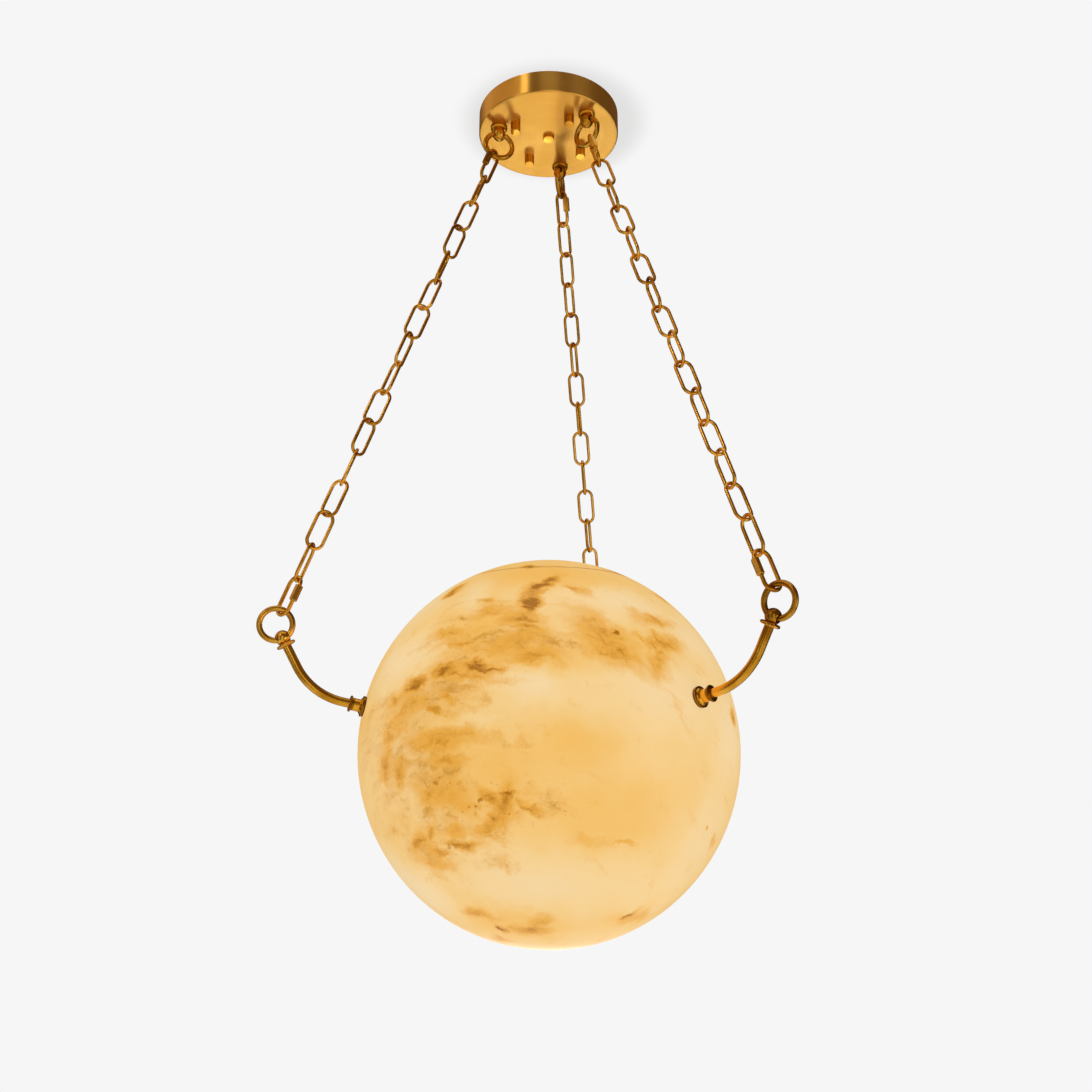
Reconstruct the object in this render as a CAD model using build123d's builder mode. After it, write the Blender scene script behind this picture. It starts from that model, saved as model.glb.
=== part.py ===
from build123d import *
from math import acos, asin, atan2, cos, degrees, hypot, pi, radians, sin, sqrt
import os

os.makedirs("parts", exist_ok=True)

# A stone globe hangs from a round ceiling canopy on three chains and three bent brass arms.
# Millimetres, +Z up, origin at the centre of the ceiling face. The rear arm points to +Y.

# General clearances
seat_gap = 0.3
hook_gap = 0.4
running_gap = 0.05
hole_clearance = 0.4

# Ceiling plate
plate_dia = 120.0
plate_thick = 2.5
wire_hole_dia = 22.0
ceiling_slot_spacing = 84.0
ceiling_slot_width = 5.2
ceiling_slot_length = 16.0

# Canopy
canopy_dia = 150.0
canopy_height = 23.7
canopy_wall = 1.5
canopy_floor = 2.0
canopy_edge_radius = 1.4

# Studs and cap nuts
stud_spacing = 58.0
stud_dia = 5.0
stud_reach = 7.0
cap_nut_dia = 10.2
cap_nut_height = 10.0
cap_nut_edge = 0.5

# Centre plug
plug_dia = 12.0
plug_height = 3.5
plug_shank_dia = 9.5
plug_shank_end = 1.0
plug_nut_flats = 15.0
plug_nut_height = 4.0

# Terminal block
block_length = 34.0
block_width = 14.0
block_height = 12.0
block_inset = 22.0
block_ways = 3
block_screw_dia = 4.0
block_screw_depth = 5.0
block_corner = 1.0

# Swivelling loop posts
hanger_azimuths = {"rear": 90.0, "left": 210.0, "right": 330.0}
post_inset = 20.0
post_stem_dia = 8.0
post_flange_dia = 17.5
post_flange_thick = 1.4
post_neck_dia = 10.0
post_cove_height = 1.3
post_eye_drop = 8.0
post_nut_flats = 13.0
post_nut_height = 5.0
post_stem_end = 1.0

# Rings and the balls that they pass through
ring_outer_dia = 34.0
ring_wire_dia = 5.2
ball_dia = 13.8
ring_fit = 0.35

# Chain
link_count = 14
link_wire_dia = 3.2
link_inner_length = 34.0
link_outer_width = 19.0
wire_sides = 6
bend_segments = 4

# Quick links and their screwed sleeves
quick_wire_dia = 3.6
quick_inner_length = 34.0
quick_outer_width = 19.4
quick_gap = 7.0
sleeve_flats = 6.2
sleeve_length = 15.0
sleeve_rise = 3.5
sleeve_chamfer = 0.5

# Turn of each chain's top link from its ring's plane, and of each link from the one above
chain_start_turn = {"rear": 50.0, "left": -130.0, "right": 130.0}
chain_link_turn = {"rear": 96.0, "left": 53.0, "right": 92.0}

# Globe
globe_dia = 350.0
globe_wall = 10.0
lid_dia = 170.0
lid_bevel = 8.0

# Arms
arm_tilt = 11.0
arm_tube_dia = 8.0
arm_tube_bore = 6.0
arm_lead = 6.2
arm_bend_radius = 60.0
arm_end_tilt = 61.0
arm_end_length = 20.3
knob_collar_dia = 17.0
knob_collar_thick = 2.6
knob_neck_dia = 9.2
knob_ball_reach = 8.0
knob_spigot_length = 8.0

# Arm sockets that clamp the globe wall
socket_plate_dia = 18.4
socket_plate_thick = 1.8
socket_step_dia = 15.6
socket_step_thick = 1.0
socket_barrel_dia = 11.2
socket_barrel_length = 8.0
socket_rim_dia = 14.6
socket_rim_thick = 2.2
socket_bore_depth = 8.0
tail_dia = 9.5
tail_hole_dia = 11.0
tail_reach = 24.0
seal_thick = 1.0
inner_seal_dia = 22.0
arm_nut_flats = 16.0
arm_nut_height = 5.0

# Spider inside the globe
strap_thick = 2.5
strap_width = 14.0
tab_below = 14.0
tab_above = 9.0
hub_dia = 52.0
hub_drop = 74.0
hub_foot_radius = 22.0

# Lampholder and bulb
nipple_dia = 10.0
nipple_wall = 1.5
nipple_end = 3.0
holder_dia = 38.0
holder_height = 46.0
holder_base = 12.0
holder_rim_radius = 2.0
holder_nut_flats = 17.0
holder_nut_height = 4.0
bulb_cap_dia = 26.4
bulb_cap_length = 26.0
bulb_cap_show = 2.0
bulb_cap_taper = 3.0
bulb_dia = 60.0
bulb_neck_dia = 27.0
bulb_height = 82.0

# Derived sizes of the rings and balls
ring_wire_radius = ring_wire_dia / 2
ring_radius = ring_outer_dia / 2 - ring_wire_radius
ball_radius = ball_dia / 2
ring_sag = ring_radius - sqrt(ring_radius**2 - ball_radius**2)
ball_hole_radius = ring_wire_radius + ring_sag / 2 + ring_fit
ring_hang = ring_radius - ring_sag / 2

# Derived places down one hanger: u is the distance from the lamp's axis, z the height
post_circle_radius = canopy_dia / 2 - post_inset
eye_z = -canopy_height - seat_gap - post_eye_drop
top_ring_z = eye_z - ring_hang

# Derived distances of each socket's steps from the globe's centre
globe_radius = globe_dia / 2
globe_inner_radius = globe_radius - globe_wall
seat_rho = sqrt(globe_radius**2 - (socket_plate_dia / 2) ** 2)
plate_rho = seat_rho + seal_thick
step_rho = plate_rho + socket_plate_thick
barrel_rho = step_rho + socket_step_thick
rim_rho = barrel_rho + socket_barrel_length
socket_end_rho = rim_rho + socket_rim_thick
bore_end_rho = socket_end_rho - socket_bore_depth
tube_start_rho = bore_end_rho + seat_gap

# Derived shape of the arm, measured from the globe's centre
arm_direction = Vector(cos(radians(arm_tilt)), sin(radians(arm_tilt)))
arm_start = arm_direction * (socket_end_rho + arm_lead)
arm_end_direction = Vector(cos(radians(arm_end_tilt)), sin(radians(arm_end_tilt)))
arm_bend_centre = arm_start + Vector(-arm_direction.Y, arm_direction.X) * arm_bend_radius
arm_bend_end = arm_bend_centre - Vector(-arm_end_direction.Y, arm_end_direction.X) * arm_bend_radius
arm_end = arm_bend_end + arm_end_direction * arm_end_length
ball_place = arm_end + arm_end_direction * knob_ball_reach
arm_ring_place = ball_place + arm_end_direction * ring_hang

# Derived run of the chain, straight from one ring's centre to the other's, and the globe's height
link_pitch = link_inner_length - seat_gap
hook_rise = ring_wire_radius + hook_gap
chain_reach = 2 * quick_inner_length + link_count * link_pitch - 2 * hook_rise - seat_gap
ring_span = chain_reach + 2 * ring_radius
chain_lean = degrees(asin((arm_ring_place.X - post_circle_radius) / ring_span))
arm_ring_z = top_ring_z - ring_span * cos(radians(chain_lean))
globe_z = arm_ring_z - arm_ring_place.Y


def radial_plane(azimuth, u=0.0, z=0.0, tilt=0.0):
    """Upright plane through the lamp's axis. Local x runs outward, tilted up by tilt degrees."""
    outward = Vector(cos(radians(azimuth)), sin(radians(azimuth)), 0)
    sideways = Vector(sin(radians(azimuth)), -cos(radians(azimuth)), 0)
    direction = outward * cos(radians(tilt)) + Vector(0, 0, 1) * sin(radians(tilt))
    return Plane(origin=outward * u + Vector(0, 0, z), x_dir=direction, z_dir=sideways)


def turning_axis(plane):
    """Axis along a plane's local x, about which turned pieces are revolved."""
    return Axis(plane.origin, plane.x_dir)


def crosswise(plane, x):
    """Plane across a turned piece's local x axis, x along it."""
    return Plane(origin=plane.from_local_coords((x, 0, 0)), x_dir=plane.y_dir, z_dir=plane.x_dir)


def chain_plane(azimuth, distance, turn):
    """Frame of a link whose middle is distance along the chain from the top ring's centre."""
    u = post_circle_radius + distance * sin(radians(chain_lean))
    z = top_ring_z - distance * cos(radians(chain_lean))
    upright = radial_plane(azimuth, u, z, 90 + chain_lean)
    across = upright.y_dir.rotate(Axis((0, 0, 0), upright.x_dir), turn)
    return Plane(origin=upright.origin, x_dir=across, z_dir=upright.x_dir)


def bend(half_width, half_straight, side=1):
    """Corners round one end of an oval link, from +x over to -x, flat where the next link bears."""
    step = pi / bend_segments
    reach = half_width / cos(step / 2)
    angles = [(i + 0.5) * step for i in range(bend_segments)]
    return [(side * reach * cos(a), side * (half_straight + reach * sin(a))) for a in angles]


def save(built, name):
    """Label a finished piece and write it."""
    built.part.label = name
    export_step(built.part, f"parts/{name}.step")


# Ceiling plate: a steel disc with a wire hole and two slots for the ceiling screws
with BuildPart() as ceiling_plate:
    with BuildSketch(Plane.XY.offset(-plate_thick)):
        Circle(plate_dia / 2)
        Circle(wire_hole_dia / 2, mode=Mode.SUBTRACT)
        with GridLocations(ceiling_slot_spacing, 0, 2, 1):
            SlotOverall(ceiling_slot_length, ceiling_slot_width, mode=Mode.SUBTRACT)
    extrude(amount=plate_thick)
save(ceiling_plate, "ceiling_plate")

# Four studs welded under the plate, which carry the canopy
with BuildPart() as plate_studs:
    with BuildSketch(Plane.XY.offset(-canopy_height - stud_reach)):
        with GridLocations(stud_spacing, stud_spacing, 2, 2):
            Circle(stud_dia / 2)
    extrude(amount=canopy_height + stud_reach - plate_thick)
save(plate_studs, "plate_studs")

# Terminal block under the plate, with a screw well over each way
block_offset = plate_dia / 2 - block_inset
with BuildPart() as terminal_block:
    with BuildSketch(Plane.XY.offset(-plate_thick - block_height)) as block_face:
        with Locations((0, -block_offset)):
            Rectangle(block_length, block_width)
    extrude(amount=block_height)
    fillet(terminal_block.edges().filter_by(Axis.Z), block_corner)
    with BuildSketch(Plane.XY.offset(-plate_thick - block_height)):
        with Locations((0, -block_offset)):
            with GridLocations(block_length / block_ways, 0, block_ways, 1):
                Circle(block_screw_dia / 2)
    extrude(amount=block_screw_depth, mode=Mode.SUBTRACT)
save(terminal_block, "terminal_block")

# Canopy: a shallow turned cup with holes for the studs, the plug and the loop posts
with BuildPart() as canopy:
    with BuildSketch(Plane.XY.offset(-canopy_height)):
        Circle(canopy_dia / 2)
    extrude(amount=canopy_height)
    with BuildSketch(Plane.XY.offset(-canopy_height + canopy_floor)):
        Circle(canopy_dia / 2 - canopy_wall)
    extrude(amount=canopy_height, mode=Mode.SUBTRACT)
    fillet(canopy.edges().group_by(Axis.Z)[0], canopy_edge_radius)
    with BuildSketch(Plane.XY.offset(-canopy_height)):
        Circle((plug_shank_dia + hole_clearance) / 2)
        with GridLocations(stud_spacing, stud_spacing, 2, 2):
            Circle((stud_dia + hole_clearance) / 2)
        with PolarLocations(post_circle_radius, 3, start_angle=hanger_azimuths["rear"]):
            Circle(post_stem_dia / 2 + running_gap)
    extrude(amount=canopy_floor, mode=Mode.SUBTRACT)
save(canopy, "canopy")

# Cylindrical cap nuts on the studs
with BuildPart() as cap_nuts:
    with BuildSketch(Plane.XY.offset(-canopy_height - cap_nut_height)):
        with GridLocations(stud_spacing, stud_spacing, 2, 2):
            Circle(cap_nut_dia / 2)
    extrude(amount=cap_nut_height)
    chamfer(cap_nuts.edges().group_by(Axis.Z)[0], cap_nut_edge)
    with BuildSketch(Plane.XY.offset(-canopy_height - stud_reach - seat_gap)):
        with GridLocations(stud_spacing, stud_spacing, 2, 2):
            Circle(stud_dia / 2 + running_gap)
    extrude(amount=stud_reach + seat_gap, mode=Mode.SUBTRACT)
save(cap_nuts, "cap_nuts")

# Plug in the canopy's centre hole, and the hex nut that holds it
plug_nut_z = -canopy_height + canopy_floor
with BuildPart() as centre_plug:
    with BuildSketch(Plane.XY.offset(-canopy_height - plug_height)):
        Circle(plug_dia / 2)
    extrude(amount=plug_height)
    chamfer(centre_plug.edges().group_by(Axis.Z)[0], cap_nut_edge)
    with BuildSketch(Plane.XY.offset(-canopy_height)):
        Circle(plug_shank_dia / 2)
    extrude(amount=canopy_floor + plug_nut_height + plug_shank_end)
save(centre_plug, "centre_plug")

with BuildPart() as centre_plug_nut:
    with BuildSketch(Plane.XY.offset(plug_nut_z)):
        RegularPolygon(plug_nut_flats / 2, 6, major_radius=False)
        Circle(plug_shank_dia / 2 + running_gap, mode=Mode.SUBTRACT)
    extrude(amount=plug_nut_height)
save(centre_plug_nut, "centre_plug_nut")

# Oval link of plain wire, standing in the XZ plane
with BuildPart() as link:
    link_half_width = (link_outer_width - link_wire_dia) / 2
    link_half_straight = (link_inner_length + link_wire_dia) / 2 - link_half_width
    with BuildLine(Plane.XZ):
        Polyline((link_half_width, 0), *bend(link_half_width, link_half_straight), (-link_half_width, 0))
    with BuildSketch(Plane.XY.offset(0)):
        with Locations((link_half_width, 0)):
            RegularPolygon(link_wire_dia / 2, wire_sides, rotation=30)
    sweep(transition=Transition.RIGHT)
    mirror(about=Plane.XY)

# Quick link: an oval of wire with a gap in one side, which the sleeve bridges
quick_half_width = (quick_outer_width - quick_wire_dia) / 2
quick_half_straight = (quick_inner_length + quick_wire_dia) / 2 - quick_half_width
with BuildPart() as quick_link:
    with BuildLine(Plane.XZ):
        Polyline(
            (quick_half_width, sleeve_rise + quick_gap / 2),
            *bend(quick_half_width, quick_half_straight),
            *bend(quick_half_width, quick_half_straight, side=-1),
            (quick_half_width, sleeve_rise - quick_gap / 2),
        )
    with BuildSketch(Plane.XY.offset(sleeve_rise + quick_gap / 2)):
        with Locations((quick_half_width, 0)):
            RegularPolygon(quick_wire_dia / 2, wire_sides, rotation=30)
    sweep(transition=Transition.RIGHT)

sleeve_plane = Plane.XY.offset(sleeve_rise - sleeve_length / 2)
with BuildPart() as sleeve:
    with BuildSketch(sleeve_plane):
        with Locations((quick_half_width, 0)):
            RegularPolygon(sleeve_flats / 2, 6, major_radius=False)
    extrude(amount=sleeve_length)
    chamfer(sleeve.faces().filter_by(Axis.Z).edges(), sleeve_chamfer)
    with BuildSketch(sleeve_plane):
        with Locations((quick_half_width, 0)):
            Circle(quick_wire_dia / 2 + running_gap)
    extrude(amount=sleeve_length, mode=Mode.SUBTRACT)

# Places of the links down each chain
top_link_middle = ring_radius - hook_rise + quick_inner_length / 2
first_link_middle = top_link_middle + quick_inner_length / 2 - seat_gap + link_inner_length / 2
last_link_end = first_link_middle + (link_count - 1) * link_pitch + link_inner_length / 2
bottom_link_middle = last_link_end - seat_gap + quick_inner_length / 2

for side, azimuth in hanger_azimuths.items():
    post_axis = radial_plane(azimuth, post_circle_radius, -canopy_height, tilt=-90)
    eye_x = -canopy_height - eye_z
    neck_x = eye_x - sqrt(ball_radius**2 - (post_neck_dia / 2) ** 2)
    cove_x = seat_gap + post_flange_thick

    # Loop post: stem through the canopy, bell flange, neck, and a ball with a cross hole
    with BuildPart() as loop_post:
        with BuildSketch(post_axis):
            with BuildLine():
                Polyline(
                    (eye_x + ball_radius, 0),
                    (-canopy_floor - post_nut_height - post_stem_end, 0),
                    (-canopy_floor - post_nut_height - post_stem_end, post_stem_dia / 2),
                    (seat_gap, post_stem_dia / 2),
                    (seat_gap, post_flange_dia / 2),
                    (cove_x, post_flange_dia / 2),
                )
                RadiusArc(
                    (cove_x, post_flange_dia / 2),
                    (cove_x + post_cove_height, post_neck_dia / 2),
                    hypot(post_cove_height, (post_flange_dia - post_neck_dia) / 2),
                )
                Line((cove_x + post_cove_height, post_neck_dia / 2), (neck_x, post_neck_dia / 2))
                ThreePointArc((neck_x, post_neck_dia / 2), (eye_x, ball_radius), (eye_x + ball_radius, 0))
            make_face()
        revolve(axis=turning_axis(post_axis))
        with BuildSketch(Plane(origin=post_axis.from_local_coords((eye_x, 0, 0)), z_dir=post_axis.y_dir)):
            Circle(ball_hole_radius)
        extrude(amount=ball_radius, both=True, mode=Mode.SUBTRACT)
    save(loop_post, f"loop_post_{side}")

    # Hex nut inside the canopy, which turns with the post
    with BuildPart() as post_nut:
        with BuildSketch(crosswise(post_axis, -canopy_floor - seat_gap - post_nut_height)):
            RegularPolygon(post_nut_flats / 2, 6, major_radius=False)
            Circle(post_stem_dia / 2 + running_gap, mode=Mode.SUBTRACT)
        extrude(amount=post_nut_height)
    save(post_nut, f"post_nut_{side}")

    # Rings: one through the post's ball and one through the arm's, both in the upright radial plane
    arm_ring_u = arm_ring_place.X
    for name, u, z in (("top_ring", post_circle_radius, top_ring_z), ("arm_ring", arm_ring_u, arm_ring_z)):
        ring_plane = radial_plane(azimuth, u, z)
        with BuildPart() as ring:
            with BuildSketch(Plane(origin=ring_plane.origin, x_dir=ring_plane.x_dir, z_dir=(0, 0, 1))):
                with Locations((ring_radius, 0)):
                    Circle(ring_wire_radius)
            revolve(axis=Axis(ring_plane.origin, ring_plane.z_dir))
        save(ring, f"{name}_{side}")

    # Quick links at both ends, each turned from the ring or link beside it
    start_turn = chain_start_turn[side]
    link_turn = chain_link_turn[side]
    end_turn = start_turn + (link_count + 1) * link_turn
    for end, distance, turn in (("top", top_link_middle, start_turn), ("bottom", bottom_link_middle, end_turn)):
        frame = chain_plane(azimuth, distance, turn)
        with BuildPart() as end_link:
            with Locations(Location(frame)):
                add(quick_link.part)
        save(end_link, f"{end}_link_{side}")
        with BuildPart() as end_sleeve:
            with Locations(Location(frame)):
                add(sleeve.part)
        save(end_sleeve, f"{end}_sleeve_{side}")

    # Chain of separate links
    with BuildPart() as chain:
        for i in range(link_count):
            turn = start_turn + (i + 1) * link_turn
            with Locations(Location(chain_plane(azimuth, first_link_middle + i * link_pitch, turn))):
                add(link.part)
    save(chain, f"chain_{side}")

    # Arm: a bent tube in the radial plane, from the socket up to the knob
    arm_plane = radial_plane(azimuth, z=globe_z)
    socket_axis = radial_plane(azimuth, z=globe_z, tilt=arm_tilt)
    tube_start = tuple(arm_direction * tube_start_rho)[:2]
    bend_start = tuple(arm_start)[:2]
    bend_centre = tuple(arm_bend_centre)[:2]
    bend_end = tuple(arm_bend_end)[:2]
    with BuildLine(arm_plane) as arm_path:
        Line(tube_start, bend_start)
        CenterArc(bend_centre, arm_bend_radius, arm_tilt - 90, arm_end_tilt - arm_tilt)
        Line(bend_end, tuple(arm_end)[:2])
    with BuildPart() as arm_tube:
        with BuildSketch(crosswise(socket_axis, tube_start_rho)):
            Circle(arm_tube_dia / 2)
        sweep(path=arm_path.line)
        with BuildSketch(crosswise(socket_axis, tube_start_rho)):
            Circle(arm_tube_bore / 2)
        sweep(path=arm_path.line, mode=Mode.SUBTRACT)
    save(arm_tube, f"arm_tube_{side}")

    # Knob on the arm's end: spigot, collar disc, neck, and a ball with a cross hole
    knob_axis = radial_plane(azimuth, arm_end.X, globe_z + arm_end.Y, tilt=arm_end_tilt)
    knob_neck_x = knob_ball_reach - sqrt(ball_radius**2 - (knob_neck_dia / 2) ** 2)
    with BuildPart() as arm_knob:
        with BuildSketch(knob_axis):
            with BuildLine():
                Polyline(
                    (knob_ball_reach + ball_radius, 0),
                    (-knob_spigot_length, 0),
                    (-knob_spigot_length, arm_tube_bore / 2 - running_gap),
                    (0, arm_tube_bore / 2 - running_gap),
                    (0, (knob_collar_dia - knob_collar_thick) / 2),
                )
                ThreePointArc(
                    (0, (knob_collar_dia - knob_collar_thick) / 2),
                    (knob_collar_thick / 2, knob_collar_dia / 2),
                    (knob_collar_thick, (knob_collar_dia - knob_collar_thick) / 2),
                )
                Polyline(
                    (knob_collar_thick, (knob_collar_dia - knob_collar_thick) / 2),
                    (knob_collar_thick, knob_neck_dia / 2),
                    (knob_neck_x, knob_neck_dia / 2),
                )
                ThreePointArc(
                    (knob_neck_x, knob_neck_dia / 2),
                    (knob_ball_reach, ball_radius),
                    (knob_ball_reach + ball_radius, 0),
                )
            make_face()
        revolve(axis=turning_axis(knob_axis))
        knob_hole = Plane(origin=knob_axis.from_local_coords((knob_ball_reach, 0, 0)), z_dir=knob_axis.y_dir)
        with BuildSketch(knob_hole):
            Circle(ball_hole_radius)
        extrude(amount=ball_radius, both=True, mode=Mode.SUBTRACT)
    save(arm_knob, f"arm_knob_{side}")

    # Socket: a turned piece whose plate bears on the globe and whose tail passes through its wall
    with BuildPart() as arm_socket:
        with BuildSketch(socket_axis):
            with BuildLine():
                Polyline(
                    (bore_end_rho, 0),
                    (globe_radius - tail_reach, 0),
                    (globe_radius - tail_reach, tail_dia / 2),
                    (plate_rho, tail_dia / 2),
                    (plate_rho, socket_plate_dia / 2),
                    (step_rho, socket_plate_dia / 2),
                    (step_rho, socket_step_dia / 2),
                )
                RadiusArc(
                    (step_rho, socket_step_dia / 2),
                    (barrel_rho + socket_step_thick, socket_barrel_dia / 2),
                    (socket_step_dia - socket_barrel_dia),
                )
                Polyline(
                    (barrel_rho + socket_step_thick, socket_barrel_dia / 2),
                    (rim_rho, socket_barrel_dia / 2),
                    (rim_rho, (socket_rim_dia - socket_rim_thick) / 2),
                )
                ThreePointArc(
                    (rim_rho, (socket_rim_dia - socket_rim_thick) / 2),
                    (rim_rho + socket_rim_thick / 2, socket_rim_dia / 2),
                    (socket_end_rho, (socket_rim_dia - socket_rim_thick) / 2),
                )
                Polyline(
                    (socket_end_rho, (socket_rim_dia - socket_rim_thick) / 2),
                    (socket_end_rho, arm_tube_dia / 2 + running_gap),
                    (bore_end_rho, arm_tube_dia / 2 + running_gap),
                    (bore_end_rho, 0),
                )
            make_face()
        revolve(axis=turning_axis(socket_axis))
    save(arm_socket, f"arm_socket_{side}")

socket_axes = [radial_plane(azimuth, z=globe_z, tilt=arm_tilt) for azimuth in hanger_azimuths.values()]

# Rubber seals outside and inside the globe wall, and the nuts that clamp them
with BuildPart() as outer_seals:
    for axis in socket_axes:
        with BuildSketch(crosswise(axis, seat_rho)):
            Circle(socket_plate_dia / 2 - seat_gap)
            Circle(tail_dia / 2 + running_gap, mode=Mode.SUBTRACT)
        extrude(amount=seal_thick)
save(outer_seals, "outer_seals")

with BuildPart() as inner_seals:
    for axis in socket_axes:
        with BuildSketch(crosswise(axis, globe_inner_radius - seal_thick)):
            Circle(inner_seal_dia / 2)
            Circle(tail_dia / 2 + running_gap, mode=Mode.SUBTRACT)
        extrude(amount=seal_thick)
save(inner_seals, "inner_seals")

tab_rho = globe_inner_radius - seal_thick - strap_thick
with BuildPart() as arm_nuts:
    for axis in socket_axes:
        with BuildSketch(crosswise(axis, tab_rho - arm_nut_height)):
            RegularPolygon(arm_nut_flats / 2, 6, major_radius=False)
            Circle(tail_dia / 2 + running_gap, mode=Mode.SUBTRACT)
        extrude(amount=arm_nut_height)
save(arm_nuts, "arm_nuts")

# Globe: a stone shell, open at the top, with a bevelled seat for the lid
globe_plane = radial_plane(0, z=globe_z)
lid_radius = lid_dia / 2
lid_angle = degrees(acos(lid_radius / globe_radius))
seat_radius = lid_radius - lid_bevel
seat_angle = degrees(acos(seat_radius / globe_inner_radius))
with BuildPart() as globe_shell:
    with BuildSketch(globe_plane):
        with BuildLine():
            outer = CenterArc((0, 0), globe_radius, -90, 90 + lid_angle)
            inner = CenterArc((0, 0), globe_inner_radius, -90, 90 + seat_angle)
            Line(outer @ 1, inner @ 1)
            Line(outer @ 0, inner @ 0)
        make_face()
    revolve(axis=Axis.Z)
    for axis in socket_axes:
        with BuildSketch(crosswise(axis, globe_inner_radius - tail_reach)):
            Circle(tail_hole_dia / 2)
        extrude(amount=2 * tail_reach, mode=Mode.SUBTRACT)
        with BuildSketch(crosswise(axis, seat_rho)):
            Circle(socket_plate_dia / 2)
        extrude(amount=globe_wall, mode=Mode.SUBTRACT)
        with BuildSketch(crosswise(axis, globe_inner_radius)):
            Circle(inner_seal_dia / 2 + seat_gap)
        extrude(amount=-globe_wall, mode=Mode.SUBTRACT)
save(globe_shell, "globe_shell")

# Lid: the cap of the same sphere, drawn in by a small gap all round its bevel
bevel_height = sqrt(globe_radius**2 - lid_radius**2) - sqrt(globe_inner_radius**2 - seat_radius**2)
bevel_angle = atan2(bevel_height, lid_bevel)
lid_gap_u = seat_gap / sin(bevel_angle)
lid_edge_angle = degrees(acos((lid_radius - lid_gap_u) / globe_radius))
lid_inner_angle = degrees(acos((seat_radius - lid_gap_u) / globe_inner_radius))
with BuildPart() as globe_lid:
    with BuildSketch(globe_plane):
        with BuildLine():
            lid_outer = CenterArc((0, 0), globe_radius, lid_edge_angle, 90 - lid_edge_angle)
            lid_inner = CenterArc((0, 0), globe_inner_radius, lid_inner_angle, 90 - lid_inner_angle)
            Line(lid_outer @ 0, lid_inner @ 0)
            Line(lid_outer @ 1, lid_inner @ 1)
        make_face()
    revolve(axis=Axis.Z)
save(globe_lid, "globe_lid")

# Spider: three bent straps from the arm tails down to a hub that carries the lampholder
hub_z = globe_z - hub_drop
with BuildPart() as spider:
    with BuildSketch(Plane.XY.offset(hub_z)):
        Circle(hub_dia / 2)
    extrude(amount=strap_thick)
    for azimuth in hanger_azimuths.values():
        strap_plane = radial_plane(azimuth, z=globe_z)
        tab = radial_plane(0, tilt=arm_tilt)
        tab_top = tab.from_local_coords((tab_rho, tab_above, 0))
        tab_foot = tab.from_local_coords((tab_rho, -tab_below, 0))
        with BuildSketch(strap_plane):
            with BuildLine():
                Polyline(
                    (tab_top.X, tab_top.Z),
                    (tab_foot.X, tab_foot.Z),
                    (hub_foot_radius, strap_thick - hub_drop),
                    (0, strap_thick - hub_drop),
                )
                offset(amount=strap_thick, side=Side.LEFT)
            make_face()
        extrude(amount=strap_width / 2, both=True)
    for axis in socket_axes:
        with BuildSketch(crosswise(axis, tab_rho - strap_thick)):
            Circle(tail_dia / 2 + running_gap)
        extrude(amount=3 * strap_thick, mode=Mode.SUBTRACT)
    with BuildSketch(Plane.XY.offset(hub_z - strap_thick)):
        Circle(nipple_dia / 2 + running_gap)
    extrude(amount=3 * strap_thick, mode=Mode.SUBTRACT)
save(spider, "spider")

# Lampholder on a threaded nipple, with its nut under the hub
holder_z = hub_z + strap_thick
with BuildPart() as lampholder:
    with BuildSketch(Plane.XY.offset(holder_z)):
        Circle(holder_dia / 2)
    extrude(amount=holder_height)
    fillet(lampholder.edges().group_by(Axis.Z)[-1], holder_rim_radius)
    with BuildSketch(Plane.XY.offset(holder_z + holder_base)):
        Circle(bulb_cap_dia / 2 + running_gap)
    extrude(amount=holder_height, mode=Mode.SUBTRACT)
    with BuildSketch(Plane.XY.offset(holder_z)):
        Circle(nipple_dia / 2 + running_gap)
    extrude(amount=holder_base, mode=Mode.SUBTRACT)
save(lampholder, "lampholder")

with BuildPart() as holder_nipple:
    with BuildSketch(Plane.XY.offset(hub_z - holder_nut_height - nipple_end)):
        Circle(nipple_dia / 2)
        Circle(nipple_dia / 2 - nipple_wall, mode=Mode.SUBTRACT)
    extrude(amount=holder_nut_height + nipple_end + strap_thick + holder_base)
save(holder_nipple, "holder_nipple")

with BuildPart() as holder_nut:
    with BuildSketch(Plane.XY.offset(hub_z - holder_nut_height)):
        RegularPolygon(holder_nut_flats / 2, 6, major_radius=False)
        Circle(nipple_dia / 2 + running_gap, mode=Mode.SUBTRACT)
    extrude(amount=holder_nut_height)
save(holder_nut, "holder_nut")

# Bulb: screw cap in the holder, and a pear-shaped glass above it
cap_top_z = holder_z + holder_height + bulb_cap_show
with BuildPart() as bulb_cap:
    with BuildSketch(Plane.XY.offset(cap_top_z - bulb_cap_length)):
        Circle(bulb_cap_dia / 2)
    extrude(amount=bulb_cap_length)
    chamfer(bulb_cap.edges().group_by(Axis.Z)[0], bulb_cap_taper)
save(bulb_cap, "bulb_cap")

with BuildPart() as bulb_glass:
    with BuildSketch(radial_plane(0, z=cap_top_z)):
        with BuildLine():
            Line((0, 0), (bulb_neck_dia / 2, 0))
            shoulder = Spline(
                (bulb_neck_dia / 2, 0),
                (bulb_dia / 2, bulb_height - bulb_dia / 2),
                tangents=[(0.1, 1), (0, 1)],
            )
            CenterArc((0, bulb_height - bulb_dia / 2), bulb_dia / 2, 0, 90)
            Line((0, bulb_height), (0, 0))
        make_face()
    revolve(axis=Axis.Z)
save(bulb_glass, "bulb_glass")
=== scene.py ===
from math import asin, cos, pi, radians, sin, sqrt

import bmesh
import bpy
from mathutils import Euler, Matrix, Vector


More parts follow.
